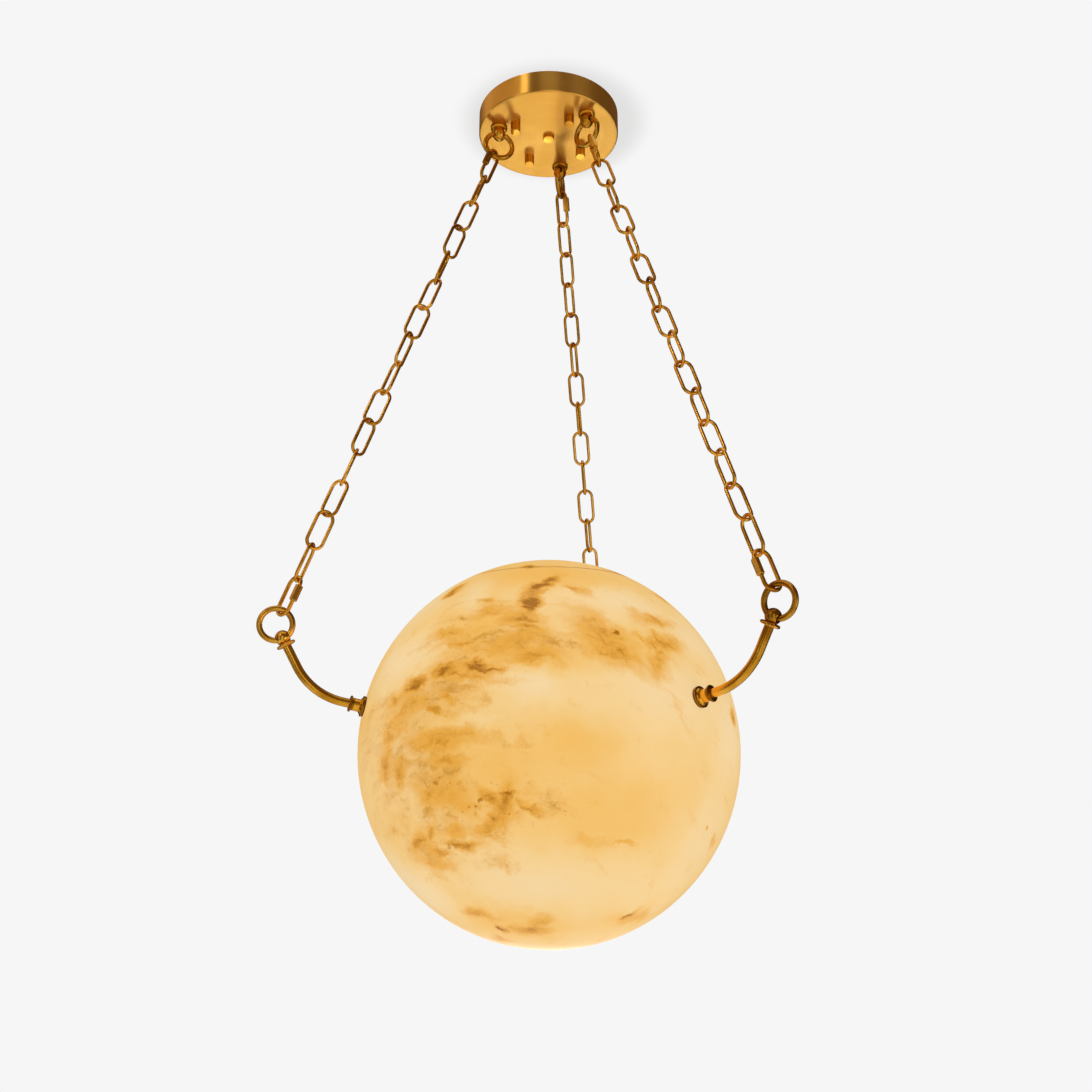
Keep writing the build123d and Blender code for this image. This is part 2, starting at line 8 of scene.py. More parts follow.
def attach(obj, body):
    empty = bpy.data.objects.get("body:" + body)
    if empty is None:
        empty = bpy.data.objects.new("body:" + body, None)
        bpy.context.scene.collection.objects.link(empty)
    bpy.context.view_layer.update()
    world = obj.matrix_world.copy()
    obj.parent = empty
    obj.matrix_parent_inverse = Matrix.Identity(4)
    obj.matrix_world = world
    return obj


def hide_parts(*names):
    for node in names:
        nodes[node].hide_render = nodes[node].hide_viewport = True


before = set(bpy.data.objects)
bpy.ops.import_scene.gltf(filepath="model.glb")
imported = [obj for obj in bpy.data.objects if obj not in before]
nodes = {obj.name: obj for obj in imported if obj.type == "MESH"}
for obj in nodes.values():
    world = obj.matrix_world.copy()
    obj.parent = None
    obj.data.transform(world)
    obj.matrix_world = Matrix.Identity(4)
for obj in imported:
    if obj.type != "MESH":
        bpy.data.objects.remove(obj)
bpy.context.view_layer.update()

# The part's sizes, in metres, as in its own source
azimuths = {"rear": 90.0, "left": 210.0, "right": 330.0}
start_turn = {"rear": 50.0, "left": -130.0, "right": 130.0}
link_turn = {"rear": 96.0, "left": 53.0, "right": 92.0}
post_circle = 0.055
top_ring_z = -0.0455196
arm_ring_u = 0.2526793
ring_span = 0.5623
ring_radius = 0.0144
hook_rise = 0.003
seat_gap = 0.0003
link_count = 14
link_wire = 0.0032
link_inner = 0.034
link_width = 0.019
quick_wire = 0.0036
quick_inner = 0.034
quick_width = 0.0194
globe_radius = 0.175
globe_z = -0.6755115
lid_radius = 0.085
chain_lean = asin((arm_ring_u - post_circle) / ring_span)
globe_centre = Vector((0, 0, globe_z))

# Distances of a socket's plate and of its outer end from the globe's centre
plate_rho = 0.1757
socket_end_rho = 0.1887

# The camera, set to the photograph's view. Its frame is 1092 x 1092.
frame_px = 1092
sensor = 36.0
lens = 35.19
camera_tilt = 14.68
camera_pan = 13.70
camera_place = Vector((0.2354, -0.9774, -0.7447))
camera_turn = Euler((radians(90 + camera_tilt), 0, radians(camera_pan)))
toward_camera = (camera_place - globe_centre).normalized()


def outward(azimuth):
    return Vector((cos(radians(azimuth)), sin(radians(azimuth)), 0))


def sideways(azimuth):
    return Vector((sin(radians(azimuth)), -cos(radians(azimuth)), 0))


def link_frame(azimuth, distance, turn):
    """Matrix of a link: x across it, z up along the chain."""
    out = outward(azimuth)
    along = -sin(chain_lean) * out + cos(chain_lean) * Vector((0, 0, 1))
    across = sideways(azimuth).cross(along)
    across.rotate(Matrix.Rotation(radians(turn), 3, along))
    third = along.cross(across)
    place = out * (post_circle + distance * sin(chain_lean))
    place.z = top_ring_z - distance * cos(chain_lean)
    matrix = Matrix((across, third, along)).transposed().to_4x4()
    matrix.translation = place
    return matrix


# Shader helpers
def material(name):
    mat = bpy.data.materials.new(name)
    mat.use_nodes = True
    return mat, mat.node_tree, mat.node_tree.nodes["Principled BSDF"]


def bare_material(name):
    """Material without nodes, for shaders that only the studio has."""
    mat = bpy.data.materials.new(name)
    mat.use_nodes = True
    mat.node_tree.nodes.clear()
    return mat, mat.node_tree


def node(tree, kind, inputs=None, **settings):
    made = tree.nodes.new(kind)
    for key, value in settings.items():
        setattr(made, key, value)
    for key, value in (inputs or {}).items():
        if isinstance(value, bpy.types.NodeSocket):
            tree.links.new(value, made.inputs[key])
        else:
            made.inputs[key].default_value = value
    return made


def maths(tree, operation, a, b=0.0):
    return node(tree, "ShaderNodeMath", {0: a, 1: b}, operation=operation).outputs[0]


def times(tree, a, b):
    return maths(tree, "MULTIPLY", a, b)


def vector_maths(tree, operation, a, b=(0, 0, 0), output="Vector"):
    return node(tree, "ShaderNodeVectorMath", {0: a, 1: b}, operation=operation).outputs[output]


def ranged(tree, value, low, high, to_low=0.0, to_high=1.0):
    return node(tree, "ShaderNodeMapRange", {0: value, 1: low, 2: high, 3: to_low, 4: to_high}).outputs[0]


def noise(tree, vector, scale, detail=4.0, roughness=0.55, distortion=0.0):
    inputs = {"Vector": vector, "Scale": scale, "Detail": detail}
    inputs |= {"Roughness": roughness, "Distortion": distortion}
    return node(tree, "ShaderNodeTexNoise", inputs).outputs[0]


def ramp(tree, value, stops):
    made = node(tree, "ShaderNodeValToRGB", {0: value})
    elements = made.color_ramp.elements
    while len(elements) > 1:
        elements.remove(elements[-1])
    elements[0].position = stops[0][0]
    elements[0].color = (*stops[0][1], 1)
    for position, colour in stops[1:]:
        elements.new(position).color = (*colour, 1)
    return made.outputs[0]


def grey_ramp(tree, value, stops):
    return ramp(tree, value, [(position, (level,) * 3) for position, level in stops])


def mix(tree, factor, a, b, blend="MIX"):
    made = node(tree, "ShaderNodeMix", {0: factor}, data_type="RGBA", blend_type=blend)
    for index, value in ((6, a), (7, b)):
        if isinstance(value, bpy.types.NodeSocket):
            tree.links.new(value, made.inputs[index])
        else:
            made.inputs[index].default_value = (*value, 1)
    return made.outputs[2]


def object_coordinates(tree):
    return node(tree, "ShaderNodeTexCoord").outputs["Object"]


def scaled(tree, vector, scale):
    return node(tree, "ShaderNodeMapping", {"Vector": vector, "Scale": scale}).outputs[0]


def bump(tree, shader, height, strength, distance):
    made = node(tree, "ShaderNodeBump", {"Height": height, "Strength": strength, "Distance": distance})
    tree.links.new(made.outputs[0], shader.inputs["Normal"])


def link(tree, socket, shader, name):
    tree.links.new(socket, shader.inputs[name])


# Antiqued brass of the chains, rings, posts and arms: dark and gold clouds of patina
def antique_brass(name, dark, middle, gold, patina=26.0):
    mat, tree, shader = material(name)
    place = object_coordinates(tree)
    cloud = noise(tree, place, patina, 4.0, 0.55)
    fine = noise(tree, place, 700.0, 3.0, 0.6)
    blend = maths(tree, "ADD", times(tree, cloud, 0.95), times(tree, fine, 0.05))
    colour = ramp(tree, blend, [(0.32, dark), (0.45, middle), (0.6, gold)])
    link(tree, colour, shader, "Base Color")
    shader.inputs["Metallic"].default_value = 1.0
    link(tree, ranged(tree, cloud, 0.3, 0.7, 0.34, 0.22), shader, "Roughness")
    bump(tree, shader, fine, 0.02, 0.00005)
    return mat


chain_brass = antique_brass("chain_brass", (0.36, 0.13, 0.005), (0.66, 0.29, 0.018), (0.92, 0.47, 0.06))
arm_brass = antique_brass("arm_brass", (0.36, 0.13, 0.005), (0.62, 0.27, 0.015), (0.92, 0.46, 0.05), 22.0)
dark_brass = antique_brass("dark_brass", (0.22, 0.08, 0.004), (0.52, 0.23, 0.016), (0.85, 0.44, 0.06))


# Brass of the sockets: a barrel in bright gold, which is painted light from the globe's glow, between a
# darker plate and a darker rim
def glow_lit_socket_brass():
    # Painted light: the barrel's gold is brighter than the other brass, as if lit by the glowing globe
    mat = antique_brass("glow_lit_socket_brass", (0.7, 0.3, 0.01), (0.92, 0.42, 0.02), (0.97, 0.5, 0.05), 40.0)
    tree = mat.node_tree
    shader = tree.nodes["Principled BSDF"]
    gold = shader.inputs["Base Color"].links[0].from_socket
    away = vector_maths(tree, "DISTANCE", object_coordinates(tree), globe_centre, "Value")
    place = ranged(tree, away, plate_rho, socket_end_rho)
    shades = [(0.0, 1.0), (0.16, 0.9), (0.24, 0.15), (0.64, 0.0), (0.74, 0.9), (0.9, 1.0)]
    darker_ends = grey_ramp(tree, place, shades)
    link(tree, mix(tree, darker_ends, gold, (0.28, 0.11, 0.007)), shader, "Base Color")
    return mat


# Turned brass of the canopy: fine grooves round the axis, on the face and on the wall
def canopy_brass(groove_scale=2600.0):
    mat, tree, shader = material("canopy_brass")
    place = object_coordinates(tree)
    split = node(tree, "ShaderNodeSeparateXYZ", {0: place})
    x2 = times(tree, split.outputs[0], split.outputs[0])
    y2 = times(tree, split.outputs[1], split.outputs[1])
    radius = maths(tree, "SQRT", maths(tree, "ADD", x2, y2))
    across = node(tree, "ShaderNodeCombineXYZ", {0: radius, 1: split.outputs[2]}).outputs[0]
    grooves = noise(tree, scaled(tree, across, (groove_scale, groove_scale, 1.0)), 1.0, 3.0, 0.7)
    cloud = noise(tree, place, 30.0, 4.0, 0.6)
    blend = maths(tree, "ADD", times(tree, grooves, 0.4), times(tree, cloud, 0.6))
    shades = [(0.3, (0.75, 0.37, 0.05)), (0.5, (0.81, 0.42, 0.07)), (0.7, (0.87, 0.48, 0.1))]
    link(tree, ramp(tree, blend, shades), shader, "Base Color")
    shader.inputs["Metallic"].default_value = 1.0
    shader.inputs["Anisotropic"].default_value = 0.95
    shader.inputs["Anisotropic Rotation"].default_value = 0.25
    link(tree, ranged(tree, grooves, 0.3, 0.7, 0.36, 0.28), shader, "Roughness")
    tangent = node(tree, "ShaderNodeTangent", direction_type="RADIAL", axis="Z").outputs[0]
    link(tree, tangent, shader, "Tangent")
    bump(tree, shader, grooves, 0.03, 0.0001)
    return mat


# Veined stone, lit from inside. Its marks lie where the photograph shows them, on the globe's surface.
def on_globe(px, py):
    """Direction from the globe's centre of the point that a pixel of the photograph shows."""
    ray = Vector((px - frame_px / 2, frame_px / 2 - py, -frame_px * lens / sensor))
    ray.rotate(camera_turn)
    ray.normalize()
    start = camera_place - globe_centre
    along = start.dot(ray)
    root = max(0.0, along**2 - start.length_squared + globe_radius**2)
    return (start - ray * (along + sqrt(root))).normalized()


# How a mark lies as the photograph shows it: its slant in degrees, and how much longer than wide it is
lays = {
    "flat": (-3.0, 3.2),
    "rising": (32.0, 2.6),
    "falling": (-32.0, 2.4),
    "steep": (76.0, 2.2),
    "round": (0.0, 1.3),
}


def lay_axes(slant):
    """Directions along a mark, toward the camera, and across the mark."""
    along = Vector((cos(radians(slant)), sin(radians(slant)), 0))
    along.rotate(camera_turn)
    along = (along - toward_camera * along.dot(toward_camera)).normalized()
    return along, toward_camera, along.cross(toward_camera)


def lay_coordinates(tree, vector):
    """The surface's coordinates for each lay, turned and pressed so that its marks become round."""
    turned = {}
    for name, (slant, stretch) in lays.items():
        turn = Matrix(lay_axes(slant)).transposed().to_euler()
        inputs = {"Vector": vector, "Rotation": turn, "Scale": (stretch, stretch, 1)}
        turned[name] = node(tree, "ShaderNodeMapping", inputs, vector_type="TEXTURE").outputs[0]
    return turned


def strongest(tree, turned, marks):
    """The strongest of several soft marks at each point."""
    total = None
    for lay, px, py, half_width, strength in marks.values():
        slant, stretch = lays[lay]
        place = on_globe(px, py)
        along, toward, across = (place.dot(axis) for axis in lay_axes(slant))
        middle = (along / stretch, toward / stretch, across)
        gap = vector_maths(tree, "DISTANCE", turned[lay], middle, "Value")
        inputs = {0: gap, 1: 0.0, 2: half_width / globe_px, 3: strength, 4: 0.0}
        shape = node(tree, "ShaderNodeMapRange", inputs, interpolation_type="SMOOTHSTEP").outputs[0]
        total = shape if total is None else maths(tree, "MAXIMUM", total, shape)
    return total


def torn(tree, grain, strength, bar, soft):
    """1 where the grain and the strength together pass a bar: a shape with torn edges."""
    return ranged(tree, maths(tree, "ADD", grain, strength), bar, bar + soft)


# The globe's radius in the photograph, the pixel that the streaks curve round, and the globe's middle
globe_px = 190
streaks_turn_about = (485, 895)
facing = (546, 755)

# Each mark: its lay, its x, y and half width in pixels of the photograph, and its strength
cream_clouds = {
    "right": ("flat", 650, 695, 44, 0.6),
    "above_streaks": ("falling", 530, 682, 22, 1.0),
    "below": ("flat", 560, 885, 46, 0.8),
    "upper_left": ("steep", 473, 598, 22, 1.0),
    "upper_right": ("flat", 630, 602, 26, 0.9),
    "low_right": ("steep", 700, 850, 50, 0.8),
    "low_left": ("falling", 410, 885, 40, 1.1),
    "far_right": ("steep", 728, 745, 36, 0.9),
    "shoulder_right": ("falling", 695, 640, 34, 1.0),
    "top_edge": ("flat", 590, 564, 9, 0.9),
    "far_left": ("rising", 400, 665, 34, 0.9),
    "shoulder_left": ("rising", 424, 608, 30, 1.0),
    "between": ("flat", 510, 632, 9, 0.7),
    "streak_gap": ("flat", 430, 818, 12, 0.9),
    "streak_gap_upper": ("flat", 478, 722, 12, 0.5),
}
amber_clouds = {
    "centre": ("round", 576, 742, 38, 0.6),
    "centre_left": ("round", 505, 772, 60, 0.45),
    "below_centre": ("flat", 590, 812, 40, 0.15),
    "below_stroke": ("flat", 530, 655, 30, 1.0),
    "clusters": ("flat", 622, 645, 34, 0.8),
    "top": ("flat", 548, 576, 26, 1.0),
    "bottom": ("flat", 508, 925, 30, 0.9),
    "low_right": ("flat", 630, 918, 14, 0.7),
    "shoulder": ("flat", 490, 625, 34, 0.9),
}
streaked_areas = {
    "left": ("steep", 408, 765, 80, 1.0),
    "left_limb": ("steep", 374, 742, 52, 0.9),
    "upper": ("rising", 438, 695, 56, 1.1),
    "upper_tip": ("flat", 472, 668, 32, 1.1),
    "middle": ("flat", 450, 745, 34, 0.95),
    "lower": ("round", 445, 812, 80, 1.15),
    "lower_tip": ("flat", 500, 802, 42, 1.0),
    "low_corner": ("flat", 438, 858, 34, 1.0),
    "stroke_foot": ("flat", 515, 640, 36, 1.35),
    "stroke_left": ("flat", 497, 610, 26, 0.7),
    "shoulder": ("rising", 440, 632, 44, 0.65),
}
grey_areas = {
    "limb": ("steep", 374, 750, 70, 1.0),
    "shadow": ("rising", 402, 716, 34, 0.8),
}
pitted_areas = {
    "right": ("flat", 502, 800, 30, 1.0),
    "left": ("flat", 440, 788, 18, 0.8),
    "limb": ("steep", 392, 772, 22, 0.8),
    "low": ("flat", 448, 845, 22, 0.7),
}
brown_marks = {
    "stroke_tip": ("rising", 549, 579, 10, 1.35),
    "stroke_top": ("rising", 539, 586, 12.5, 1.4),
    "stroke_middle": ("steep", 529, 601, 14, 1.4),
    "stroke_lower": ("flat", 521, 618, 10, 1.2),
    "stroke_lower_left": ("flat", 511, 621, 7.5, 0.8),
    "stroke_foot": ("flat", 529, 627, 7.5, 1.1),
    "band_left": ("rising", 503, 642, 11, 0.75),
    "band_middle": ("flat", 525, 639, 9, 0.6),
    "band_right": ("flat", 533, 654, 16.2, 0.85),
    "band_end": ("falling", 550, 656, 12.5, 0.75),
    "top_flecks": ("falling", 581, 590, 11, 0.75),
    "top_fleck": ("flat", 574, 587, 5, 1.0),
    "left_cluster": ("falling", 600, 631, 25, 0.85),
    "left_cluster_low": ("falling", 613, 649, 25, 0.8),
    "left_cluster_edge": ("falling", 590, 638, 14, 0.75),
    "left_cluster_end": ("flat", 624, 658, 12.5, 0.65),
    "left_cluster_dot": ("falling", 612, 629, 4, 1.5),
    "right_cluster": ("flat", 661, 642, 14, 0.9),
    "right_cluster_top": ("flat", 653, 620, 12.5, 0.75),
    "right_cluster_low": ("steep", 660, 659, 17.5, 0.75),
    "right_cluster_line": ("falling", 640, 637, 6, 0.75),
    "ridge": ("falling", 481, 663, 7.5, 1.45),
    "ridge_body": ("flat", 480, 665, 10, 1.35),
    "ridge_tip": ("flat", 492, 666, 6, 1.3),
    "ridge_left": ("flat", 448, 673, 11, 1.2),
    "ridge_far": ("rising", 413, 686, 11, 1.2),
    "ridge_limb": ("rising", 396, 697, 9, 0.7),
    "spot_under_ridge": ("rising", 424, 698, 5, 1.0),
    "spot_right_of_it": ("falling", 446, 698, 6, 1.0),
    "spot_below": ("flat", 433, 710, 6, 1.0),
    "line_under_ridge": ("flat", 475, 677, 6, 0.8),
    "tan_band": ("flat", 438, 740, 18.8, 0.85),
    "tan_band_end": ("flat", 465, 737, 11, 0.7),
    "tan_band_below": ("flat", 446, 762, 11, 0.75),
    "left_shadow": ("rising", 403, 716, 22.5, 0.75),
    "limb_dark": ("steep", 385, 766, 14, 1.0),
    "limb_dark_right": ("steep", 401, 775, 12.5, 0.9),
    "limb_upper": ("steep", 387, 737, 14, 0.75),
    "heart": ("steep", 504, 801, 18, 1.0),
    "heart_top": ("flat", 509, 791, 7.5, 1.05),
    "heart_left": ("falling", 492, 798, 10, 0.95),
    "heart_low": ("rising", 486, 822, 12.5, 0.95),
    "heart_low_left": ("round", 477, 812, 9, 0.9),
    "heart_right": ("falling", 530, 807, 10, 0.9),
    "patch_left": ("flat", 440, 794, 17.5, 0.75),
    "patch_middle": ("flat", 465, 803, 12.5, 0.7),
    "low_line": ("flat", 463, 845, 10, 1.0),
    "low_line_top": ("round", 453, 831, 11, 0.95),
    "low_line_left": ("flat", 441, 852, 9, 0.9),
    "low_spot": ("steep", 419, 843, 10, 0.95),
    "low_spot_right": ("steep", 429, 833, 10, 0.95),
    "low_tail": ("flat", 436, 863, 11, 0.7),
    "bottom_line": ("falling", 503, 929, 6, 1.35),
    "bottom_band": ("flat", 530, 929, 11, 0.9),
    "bottom_band_end": ("rising", 543, 921, 10, 0.7),
    "bottom_left": ("flat", 478, 915, 10, 0.75),
    "bottom_edge": ("flat", 503, 939, 6, 0.8),
    "low_right_dot": ("rising", 631, 915, 6, 1.1),
    "low_right_haze": ("flat", 638, 916, 10, 0.6),
    "faint_line": ("flat", 624, 843, 4, 0.7),
    "faint_line_left": ("flat", 592, 840, 9, 0.5),
    "right_dot": ("round", 708, 827, 5, 0.85),
    "right_line": ("steep", 712, 842, 7, 0.5),
    "limb_right": ("steep", 733, 716, 10, 0.8),
    "lid_front": ("flat", 528, 567, 5, 1.3),
    "lid_right": ("falling", 614, 572, 7.5, 1.2),
    "lid_far_right": ("falling", 664, 600, 6, 1.0),
    "lid_left": ("rising", 456, 590, 9, 1.2),
    "shoulder_spots": ("flat", 450, 632, 10, 0.75),
    "shoulder_tan": ("flat", 463, 642, 11, 0.75),
    "shoulder_dot": ("flat", 483, 602, 5, 0.9),
    "shoulder_haze": ("flat", 489, 610, 10, 0.7),
}

# Colours of the stone, from amber to cream, and of what marks it
stone_tones = [
    (0.02, (0.895, 0.48, 0.09)),
    (0.17, (0.905, 0.55, 0.165)),
    (0.31, (0.915, 0.625, 0.265)),
    (0.49, (0.925, 0.69, 0.375)),
]
tan_stone = (0.81, 0.40, 0.065)
grey_stone = (0.75, 0.44, 0.16)
dark_streak = (0.56, 0.25, 0.02)
pale_vein = (0.93, 0.62, 0.25)
orange_haze = (0.83, 0.40, 0.05)
brown_heart = (0.56, 0.215, 0.006)
dark_core = (0.33, 0.115, 0.003)
dark_pit = (0.38, 0.13, 0.004)
seam_dust = (0.52, 0.25, 0.06)
wave_reach = 0.16
inner_glow = 0.76
outer_share = 0.26


def wavy(tree, ball):
    """The stone's coordinates, shifted by noise so that no mark has a clean edge."""
    inputs = {"Vector": ball, "Scale": 7.0, "Detail": 7.0, "Roughness": 0.65}
    wave = node(tree, "ShaderNodeTexNoise", inputs).outputs["Color"]
    wave = vector_maths(tree, "SUBTRACT", wave, (0.5, 0.5, 0.5))
    shift = vector_maths(tree, "MULTIPLY", wave, (wave_reach,) * 3)
    return vector_maths(tree, "ADD", ball, shift)


def stone_grains(tree, ball, bent):
    """Noises for the marks. All but the pits are stretched in arcs round one point."""
    turn = on_globe(*streaks_turn_about).to_track_quat("Z", "Y").inverted().to_euler()
    arcs = node(tree, "ShaderNodeMapping", {"Vector": bent, "Rotation": turn}).outputs[0]
    return {
        "streak": noise(tree, scaled(tree, arcs, (4.2, 4.2, 15.0)), 1.0, 9.0, 0.68),
        "fleck": noise(tree, scaled(tree, arcs, (10.0, 10.0, 32.0)), 1.0, 7.0, 0.7),
        "thread": noise(tree, scaled(tree, arcs, (5.0, 5.0, 17.0)), 1.0, 3.0, 0.5, 0.6),
        "patch": noise(tree, arcs, 3.0, 3.0, 0.5),
        "pit": noise(tree, ball, 26.0, 3.0, 0.6),
    }


def stone_clouds(tree, bent, turned):
    """Broad clouds from amber to cream."""
    cloud = noise(tree, bent, 1.6, 5.0, 0.5)
    cream = strongest(tree, turned, cream_clouds)
    amber = strongest(tree, turned, amber_clouds)
    paleness = maths(tree, "SUBTRACT", cream, amber)
    tone = maths(tree, "ADD", times(tree, paleness, 0.2), times(tree, cloud, 0.5))
    return ramp(tree, tone, stone_tones)


def add_streaks(tree, colour, grains, bent, turned, behind):
    """Torn streaks, thick on the left and here and there on the side that the photograph hides."""
    mass = strongest(tree, turned, streaked_areas)
    elsewhere = ranged(tree, noise(tree, bent, 1.25, 3.0, 0.5), 0.49, 0.62, 0.0, 0.95)
    mass = maths(tree, "MAXIMUM", mass, times(tree, elsewhere, behind))
    haze = torn(tree, grains["streak"], times(tree, mass, 0.27), 0.61, 0.26)
    tan = mix(tree, strongest(tree, turned, grey_areas), tan_stone, grey_stone)
    colour = mix(tree, times(tree, haze, 0.8), colour, tan)
    dark = torn(tree, grains["fleck"], times(tree, haze, 0.2), 0.62, 0.16)
    dark = times(tree, dark, ranged(tree, haze, 0.1, 0.7, 0.0, 0.75))
    colour = mix(tree, dark, colour, dark_streak)
    vein = maths(tree, "ABSOLUTE", maths(tree, "SUBTRACT", grains["thread"], 0.5))
    vein = times(tree, ranged(tree, vein, 0.0, 0.02, 0.25, 0.0), mass)
    return mix(tree, vein, colour, pale_vein)


def add_marks(tree, colour, grains, turned, behind):
    """Single marks: an orange haze, a torn brown heart, a dark core and a few dark pits."""
    marks = strongest(tree, turned, brown_marks)
    others = times(tree, ranged(tree, grains["patch"], 0.58, 0.72, 0.0, 1.2), behind)
    marks = maths(tree, "MAXIMUM", marks, others)
    soft = torn(tree, grains["streak"], times(tree, marks, 0.9), 0.55, 0.5)
    colour = mix(tree, times(tree, soft, 0.85), colour, orange_haze)
    heart = torn(tree, grains["fleck"], times(tree, marks, 0.5), 0.78, 0.3)
    colour = mix(tree, times(tree, heart, 0.9), colour, brown_heart)
    core = torn(tree, grains["fleck"], times(tree, marks, 0.5), 0.98, 0.16)
    colour = mix(tree, times(tree, core, 0.75), colour, dark_core)
    pits = ranged(tree, grains["pit"], 0.62, 0.68)
    pitted = times(tree, strongest(tree, turned, pitted_areas), pits)
    return mix(tree, times(tree, pitted, 0.8), colour, dark_pit)


def add_lid_seam(tree, colour, grains, ball):
    """Dust in the thin joint round the lid."""
    height = node(tree, "ShaderNodeSeparateXYZ", {0: ball}).outputs[2]
    joint = sqrt(globe_radius**2 - lid_radius**2) / globe_radius
    seam = maths(tree, "ABSOLUTE", maths(tree, "SUBTRACT", height, joint))
    seam = ranged(tree, seam, 0.0015, 0.006, 1.0, 0.0)
    seam = times(tree, seam, ranged(tree, grains["fleck"], 0.35, 0.6, 0.35, 1.0))
    return mix(tree, seam, colour, seam_dust)


def lit_stone(name):
    mat, tree, shader = material(name)
    centred = vector_maths(tree, "ADD", object_coordinates(tree), -globe_centre)
    ball = scaled(tree, centred, (1 / globe_radius,) * 3)
    bent = wavy(tree, ball)
    turned = lay_coordinates(tree, bent)
    grains = stone_grains(tree, ball, bent)
    front = vector_maths(tree, "DOT_PRODUCT", ball, on_globe(*facing), "Value")
    behind = ranged(tree, front, 0.25, -0.15)
    colour = stone_clouds(tree, bent, turned)
    colour = add_streaks(tree, colour, grains, bent, turned, behind)
    colour = add_marks(tree, colour, grains, turned, behind)
    colour = add_lid_seam(tree, colour, grains, ball)

    # Most of the tone comes from the lamp inside, the rest from the light on the stone
    lit = mix(tree, 1.0, colour, (outer_share,) * 3, "MULTIPLY")
    link(tree, lit, shader, "Base Color")
    link(tree, colour, shader, "Emission Color")
    shader.inputs["Emission Strength"].default_value = inner_glow
    shader.inputs["Roughness"].default_value = 0.38
    shader.inputs["IOR"].default_value = 1.3
    bump(tree, shader, grains["fleck"], 0.04, 0.0003)
    return mat


# Finishes of the pieces inside
def plated_steel():
    mat, tree, shader = material("plated_steel")
    spangle = noise(tree, object_coordinates(tree), 220.0, 4.0, 0.6)
    colour = ramp(tree, spangle, [(0.35, (0.42, 0.42, 0.41)), (0.65, (0.66, 0.66, 0.63))])
    link(tree, colour, shader, "Base Color")
    shader.inputs["Metallic"].default_value = 1.0
    link(tree, ranged(tree, spangle, 0.3, 0.7, 0.45, 0.3), shader, "Roughness")
    bump(tree, shader, spangle, 0.05, 0.0002)
    return mat


def moulded(name, low, high, rough):
    """Rubber or plastic with a fine grain between two tones."""
    mat, tree, shader = material(name)
    grain = noise(tree, object_coordinates(tree), 600.0, 3.0, 0.6)
    link(tree, ramp(tree, grain, [(0.35, low), (0.65, high)]), shader, "Base Color")
    shader.inputs["Roughness"].default_value = rough
    bump(tree, shader, grain, 0.08, 0.0002)
    return mat


def frosted_bulb():
    mat, tree, shader = material("frosted_bulb")
    frost = noise(tree, object_coordinates(tree), 300.0, 3.0, 0.6)
    colour = ramp(tree, frost, [(0.35, (0.85, 0.75, 0.55)), (0.65, (0.95, 0.88, 0.7))])
    link(tree, colour, shader, "Base Color")
    link(tree, colour, shader, "Emission Color")
    shader.inputs["Emission Strength"].default_value = 0.5
    shader.inputs["Roughness"].default_value = 0.4
    return mat


stone = lit_stone("lit_stone")
canopy_finish = canopy_brass()
glow_lit_socket_finish = glow_lit_socket_brass()
steel = plated_steel()
rubber = moulded("seal_rubber", (0.012, 0.012, 0.012), (0.03, 0.03, 0.03), 0.7)
terminal = moulded("terminal_plastic", (0.72, 0.72, 0.68), (0.82, 0.82, 0.78), 0.4)
holder = moulded("holder_plastic", (0.02, 0.02, 0.02), (0.05, 0.05, 0.05), 0.35)
cap_metal = antique_brass("cap_metal", (0.4, 0.4, 0.39), (0.6, 0.6, 0.58), (0.75, 0.75, 0.72), 60.0)
bulb = frosted_bulb()

finishes = {
    "ceiling_plate": steel,
    "plate_studs": steel,
    "terminal_block": terminal,
    "canopy": canopy_finish,
    "cap_nuts": chain_brass,
    "centre_plug": chain_brass,
    "centre_plug_nut": steel,
    "globe_shell": stone,
    "globe_lid": stone,
    "outer_seals": rubber,
    "inner_seals": rubber,
    "arm_nuts": steel,
    "spider": steel,
    "lampholder": holder,
    "holder_nipple": steel,
    "holder_nut": steel,
    "bulb_cap": cap_metal,
    "bulb_glass": bulb,
}
for side in azimuths:
    finishes[f"loop_post_{side}"] = arm_brass
    finishes[f"post_nut_{side}"] = steel
    finishes[f"top_ring_{side}"] = dark_brass
    finishes[f"arm_ring_{side}"] = dark_brass
    finishes[f"arm_tube_{side}"] = arm_brass
    finishes[f"arm_knob_{side}"] = dark_brass
    finishes[f"arm_socket_{side}"] = glow_lit_socket_finish
    for end in ("top", "bottom"):
        finishes[f"{end}_sleeve_{side}"] = dark_brass
for name, finish in finishes.items():
    mesh = nodes[name].data
    mesh.materials.clear()
    mesh.materials.append(finish)
    mesh.set_sharp_from_angle(angle=radians(35))


def mesh_object(name, bm, finish):
    """Object in the scene with a bmesh's faces and one finish. The bmesh is freed."""
    mesh = bpy.data.meshes.new(name)
    bm.to_mesh(mesh)
    bm.free()
    mesh.materials.append(finish)
    made = bpy.data.objects.new(name, mesh)
    bpy.context.scene.collection.objects.link(made)
    return made


# Round wire bent to ovals, in place of the model's six-sided wire
def oval_wire(bm, matrix, wire, inner, width, round_count=14, bend_count=14):
    half = (width - wire) / 2
    straight = (inner + wire) / 2 - half
    path = []
    for sign in (1, -1):
        for i in range(bend_count + 1):
            a = pi * i / bend_count
            x = half * cos(a) * sign
            z = (straight + half * sin(a)) * sign
            path.append((Vector((x, 0, z)), Vector((cos(a) * sign, 0, sin(a) * sign))))
    rings = []
    for centre, out in path:
        ring = []
        for j in range(round_count):
            b = 2 * pi * j / round_count
            point = centre + (out * cos(b) + Vector((0, 1, 0)) * sin(b)) * wire / 2
            ring.append(bm.verts.new(matrix @ point))
        rings.append(ring)
    for i, ring in enumerate(rings):
        after = rings[(i + 1) % len(rings)]
        for j in range(round_count):
            k = (j + 1) % round_count
            face = bm.faces.new((ring[j], ring[k], after[k], after[j]))
            face.smooth = True


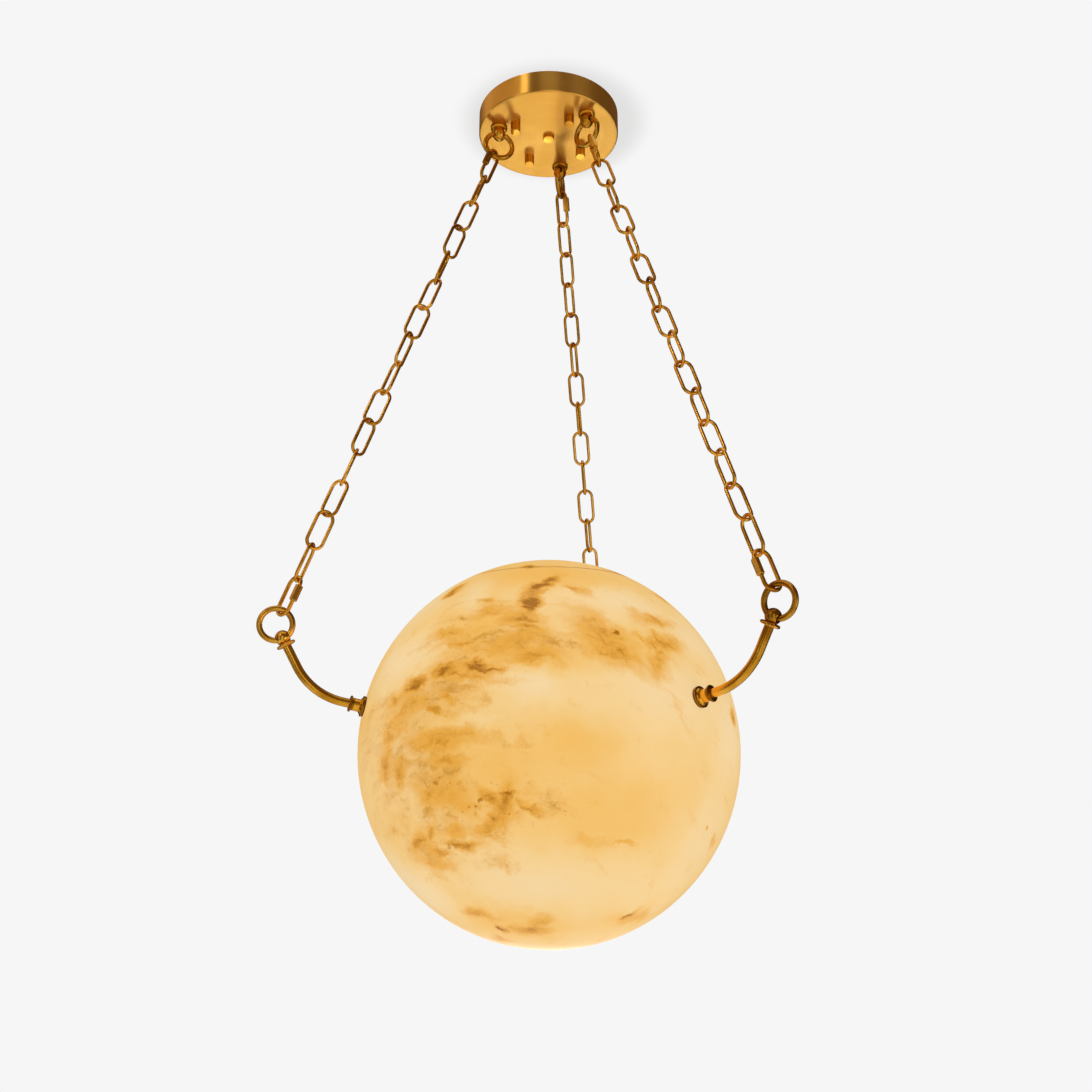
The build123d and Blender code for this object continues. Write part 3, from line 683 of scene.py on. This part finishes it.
def wire_piece(name, matrices, size, finish):
    bm = bmesh.new()
    for matrix in matrices:
        oval_wire(bm, matrix, *size)
    bmesh.ops.recalc_face_normals(bm, faces=bm.faces)
    return mesh_object(name, bm, finish)


link_size = (link_wire, link_inner, link_width)
quick_size = (quick_wire, quick_inner, quick_width)
link_pitch = link_inner - seat_gap
top_middle = ring_radius - hook_rise + quick_inner / 2
first_middle = top_middle + quick_inner / 2 - seat_gap + link_inner / 2
last_middle = first_middle + (link_count - 1) * link_pitch
bottom_middle = last_middle + link_inner / 2 - seat_gap + quick_inner / 2
for side, azimuth in azimuths.items():
    turns = [start_turn[side] + i * link_turn[side] for i in range(link_count + 2)]
    places = [first_middle + i * link_pitch for i in range(link_count)]
    links = [link_frame(azimuth, place, turn) for place, turn in zip(places, turns[1:])]
    pieces = {
        f"chain_{side}": (links, link_size),
        f"top_link_{side}": ([link_frame(azimuth, top_middle, turns[0])], quick_size),
        f"bottom_link_{side}": ([link_frame(azimuth, bottom_middle, turns[-1])], quick_size),
    }
    for name, (matrices, size) in pieces.items():
        made = wire_piece(f"{name}_wire", matrices, size, chain_brass)
        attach(made, f"hanger_{side}")
        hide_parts(name)

# Studio: a pale floor far below, the ceiling's soft shadow round the canopy, and cards for reflections
pale = (0.9216, 0.9216, 0.9216)
floor_z = -2.4
floor_edge = (0.001, 40.0)
floor_fade = (1.2, 4.0)

# The lamps stand in front and to the left, so the shadow lies behind and to the right
shadow_middle = (0.003, 0.014, 0.0)
shadow_edge = (0.0752, 0.16)
shadow_fade = (0.074, 0.118)
shadow_depth = 0.3
shadow_grey = (0.36, 0.35, 0.34)


def disc(name, edge, z, rings, finish, around=96):
    """A flat ring, from its inner to its outer edge. One with a tiny hole is closed."""
    bm = bmesh.new()
    inner, outer = edge
    loops = []
    for i in range(rings + 1):
        r = inner + (outer - inner) * i / rings
        angles = [2 * pi * j / around for j in range(around)]
        loops.append([bm.verts.new((r * cos(a), r * sin(a), z)) for a in angles])
    for low, high in zip(loops, loops[1:]):
        for j in range(around):
            k = (j + 1) % around
            bm.faces.new((low[j], high[j], high[k], low[k]))
    if inner < 0.01:
        bm.faces.new(loops[0])
    made = mesh_object(name, bm, finish)
    return made


def emitter(tree, colour):
    return node(tree, "ShaderNodeEmission", {"Color": (*colour, 1), "Strength": 1.0}).outputs[0]


def floor_finish():
    """Matt white near the lamp, which fades into the background's own tone further out."""
    mat, tree, shader = material("floor")
    shader.inputs["Base Color"].default_value = (*pale, 1)
    shader.inputs["Roughness"].default_value = 0.9
    shader.inputs["Specular IOR Level"].default_value = 0.0
    flat = vector_maths(tree, "MULTIPLY", object_coordinates(tree), (1, 1, 0))
    far = ranged(tree, vector_maths(tree, "LENGTH", flat, output="Value"), *floor_fade)
    blend = node(tree, "ShaderNodeMixShader", {0: far, 1: shader.outputs[0], 2: emitter(tree, pale)})
    tree.links.new(blend.outputs[0], tree.nodes["Material Output"].inputs[0])
    return mat


def shadow_finish():
    """The canopy's soft shadow on the ceiling. Only its underside shows."""
    mat, tree = bare_material("ceiling_shadow")
    distance = vector_maths(tree, "DISTANCE", object_coordinates(tree), shadow_middle, "Value")
    inputs = {0: distance, 1: shadow_fade[0], 2: shadow_fade[1], 3: shadow_depth, 4: 0.0}
    depth = node(tree, "ShaderNodeMapRange", inputs, interpolation_type="SMOOTHERSTEP").outputs[0]
    below = node(tree, "ShaderNodeNewGeometry").outputs["Backfacing"]
    clear = node(tree, "ShaderNodeBsdfTransparent").outputs[0]
    inputs = {0: times(tree, depth, below), 1: clear, 2: emitter(tree, shadow_grey)}
    blend = node(tree, "ShaderNodeMixShader", inputs).outputs[0]
    node(tree, "ShaderNodeOutputMaterial", {0: blend})
    return mat


disc("floor", floor_edge, floor_z, 8, floor_finish())
halo = disc("ceiling_shadow", shadow_edge, 0.0, 6, shadow_finish())
halo.visible_shadow = False
halo.visible_diffuse = False
halo.visible_glossy = False


def card_finish(name, colour):
    mat, tree = bare_material(name)
    node(tree, "ShaderNodeOutputMaterial", {0: emitter(tree, colour)})
    return mat


def card(name, start, end, low, high, finish, radius=2.6, step=6):
    """A curved upright card that only reflections see, from one azimuth to another."""
    bm = bmesh.new()
    count = max(2, int((end - start) / step))
    columns = []
    for i in range(count + 1):
        a = radians(start + (end - start) * i / count)
        x, y = radius * cos(a), radius * sin(a)
        columns.append((bm.verts.new((x, y, low)), bm.verts.new((x, y, high))))
    for a, b in zip(columns, columns[1:]):
        bm.faces.new((a[0], b[0], b[1], a[1]))
    made = mesh_object(name, bm, finish)
    made.visible_camera = False
    made.visible_diffuse = False
    made.visible_shadow = False
    made.visible_transmission = False


dark = card_finish("card_dark", (0.05, 0.03, 0.015))
shade = card_finish("card_shade", (0.13, 0.075, 0.035))
dim = card_finish("card_dim", (0.62, 0.45, 0.28))

# Bands of cards: each band's lowest and highest height, and the azimuths and finish of each card
card_bands = {
    "upper": (0.5, 4.5, [(-122, 150, shade), (150, 238, dim)]),
    "middle": (-1.1, 0.5, [(-62, 172, dark), (190, 232, dark), (246, 272, dark)]),
    "lower": (
        -2.3,
        -1.1,
        [(-60, -12, dark), (10, 90, dark), (116, 172, dark), (190, 232, dark), (246, 272, dark)],
    ),
}
for band, (low, high, cards) in card_bands.items():
    for i, (start, end, finish) in enumerate(cards):
        card(f"card_{band}_{i}", start, end, low, high, finish)


def studio_world(ambient_strength=0.75):
    """The camera and reflections see the pale backdrop. All other light is white and dimmer."""
    world = bpy.data.worlds.new("studio")
    world.use_nodes = True
    tree = world.node_tree
    tree.nodes.clear()
    rays = node(tree, "ShaderNodeLightPath")
    seen = maths(tree, "MAXIMUM", rays.outputs["Is Camera Ray"], rays.outputs["Is Glossy Ray"])
    seen = maths(tree, "MAXIMUM", seen, rays.outputs["Is Transmission Ray"])
    back = node(tree, "ShaderNodeBackground", {"Color": (*pale, 1), "Strength": 1.0})
    ambient = node(tree, "ShaderNodeBackground", {"Color": (1, 1, 1, 1), "Strength": ambient_strength})
    blend = node(tree, "ShaderNodeMixShader", {0: seen, 1: ambient.outputs[0], 2: back.outputs[0]})
    node(tree, "ShaderNodeOutputWorld", {0: blend.outputs[0]})
    return world


bpy.context.scene.world = studio_world()


def area_light(name, place, aim_z, size, watts):
    data = bpy.data.lights.new(name, "AREA")
    data.shape = "DISK"
    data.size = size
    data.energy = watts
    made = bpy.data.objects.new(name, data)
    made.location = place
    made.rotation_euler = (Vector((0, 0, aim_z)) - Vector(place)).to_track_quat("-Z", "Y").to_euler()
    bpy.context.scene.collection.objects.link(made)


# Each lamp: its place, the height on the axis that it points to, its size and its watts
area_light("key", (-0.9, -2.1, 1.2), -0.4, 0.5, 5.0)
area_light("fill", (1.8, -0.9, -0.9), -0.4, 1.2, 6.0)
area_light("back", (-0.47, 1.95, -1.5), -0.2, 0.4, 1.1)

camera_data = bpy.data.cameras.new("camera")
camera_data.sensor_width = sensor
camera_data.lens = lens
camera_data.clip_end = 200.0
camera = bpy.data.objects.new("camera", camera_data)
camera.location = camera_place
camera.rotation_euler = camera_turn
bpy.context.scene.collection.objects.link(camera)
bpy.context.scene.camera = camera
bpy.context.scene.view_settings.view_transform = "Standard"
